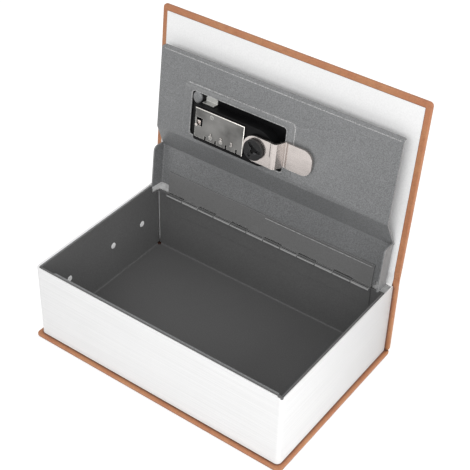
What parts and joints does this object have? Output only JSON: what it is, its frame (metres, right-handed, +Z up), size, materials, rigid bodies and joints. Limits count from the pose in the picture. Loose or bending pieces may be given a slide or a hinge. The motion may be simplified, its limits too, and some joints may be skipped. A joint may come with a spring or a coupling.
{
  "type": "book diversion safe",
  "caption": "Book-shaped safe: leatherette case and page block around a folded steel box, with a piano-hinged steel lid closed by a number-wheel lock, a knob and a cranked cam",
  "frame": {"origin": "centre of the bounding box in X and Y, on the underside of the back cover, with the front cover and the lid standing open", "axes": "+Z up, +X along the spine to the side where the cam points, +Y from the fore-edge to the spine"},
  "size_m": [0.222, 0.1598, 0.2141],
  "materials": {
    "leatherette": "brown grained leatherette, satin, with darker worn edges",
    "board": "grey bookbinding board, matt",
    "endpaper": "white endpaper, matt",
    "pages": "white page block with fine page lines",
    "box_paint": "dark grey powder coat, fine orange peel",
    "lid_paint": "mid grey powder coat, orange peel, satin",
    "zinc": "zinc-plated steel and cast zinc, dull",
    "nickel": "bright nickel plate, soft polish",
    "lock_black": "black lock plastic, fine texture",
    "wheel_metal": "plated number wheels with dark figures",
    "spring_steel": "bare spring steel"
  },
  "bodies": {
    "base": {"back_board": "board", "back_cloth": "leatherette", "back_endpaper": "endpaper", "spine_board": "board", "spine_cloth": "leatherette", "spine_lining": "endpaper", "page_block": "pages", "steel_box": "box_paint", "lock_ledge": "lid_paint", "box_hinge_leaf": "box_paint", "hinge_pin": "spring_steel"},
    "crease": {"cover_crease": "leatherette"},
    "front_cover": {"front_board": "board", "front_cloth": "leatherette", "front_endpaper": "endpaper"},
    "lid": {"lid_plate": "lid_paint", "lid_hinge_leaf": "lid_paint", "lock_housing": "lock_black", "lock_bezel": "lock_black", "lock_back_plate": "zinc", "wheel_axle": "spring_steel", "wheel_spring": "spring_steel", "lock_clip": "nickel"},
    "knob": {"turn_knob": "lock_black", "spindle": "lock_black", "cam_lever": "nickel", "cam_end_cap": "lock_black"},
    "wheel_1": {"number_wheel_1": "wheel_metal", "code_sleeve_1": "spring_steel"},
    "wheel_2": {"number_wheel_2": "wheel_metal", "code_sleeve_2": "spring_steel"},
    "wheel_3": {"number_wheel_3": "wheel_metal", "code_sleeve_3": "spring_steel"},
    "bar": {"locking_bar": "zinc"},
    "change_lever": {"code_change_lever": "nickel"}
  },
  "joints": [
    {"name": "lid_hinge", "type": "hinge", "parent": "base", "child": "lid", "pos_m": [0, 0.05786, 0.05955], "axis": [-1, 0, 0], "range_deg": [-96.5, 0]},
    {"name": "cover_crease_turn", "type": "hinge", "parent": "base", "child": "crease", "pos_m": [0, 0.06561, 0.06905], "axis": [-1, 0, 0], "range_deg": [-95.1, 0]},
    {"name": "cover_fold", "type": "hinge", "parent": "crease", "child": "front_cover", "pos_m": [0, 0.06622, 0.07602], "axis": [-1, 0, 0], "range_deg": [0, 85]},
    {"name": "knob_turn", "type": "hinge", "parent": "lid", "child": "knob", "pos_m": [-0.005, 0.05822, 0.14536], "axis": [0, -0.9936, 0.1132], "range_deg": [0, 90]},
    {"name": "wheel_1_turn", "type": "hinge", "parent": "lid", "child": "wheel_1", "pos_m": [-0.045, 0.05653, 0.14233], "axis": [1, 0, 0], "continuous": true},
    {"name": "wheel_2_turn", "type": "hinge", "parent": "lid", "child": "wheel_2", "pos_m": [-0.0357, 0.05653, 0.14233], "axis": [1, 0, 0], "continuous": true},
    {"name": "wheel_3_turn", "type": "hinge", "parent": "lid", "child": "wheel_3", "pos_m": [-0.0264, 0.05653, 0.14233], "axis": [1, 0, 0], "continuous": true},
    {"name": "bar_slide", "type": "slide", "parent": "lid", "child": "bar", "axis": [0, 0.1132, 0.9936], "range_m": [0, 0.001]},
    {"name": "change_lever_slide", "type": "slide", "parent": "lid", "child": "change_lever", "axis": [0, 0.1132, 0.9936], "range_m": [0, 0.004]}
  ],
  "couplings": [
    {"joint": "cover_crease_turn", "follows": "lid_hinge", "ratio": 0.98446},
    {"joint": "bar_slide", "follows": "knob_turn", "m_per_rad": 0.000636}
  ]
}
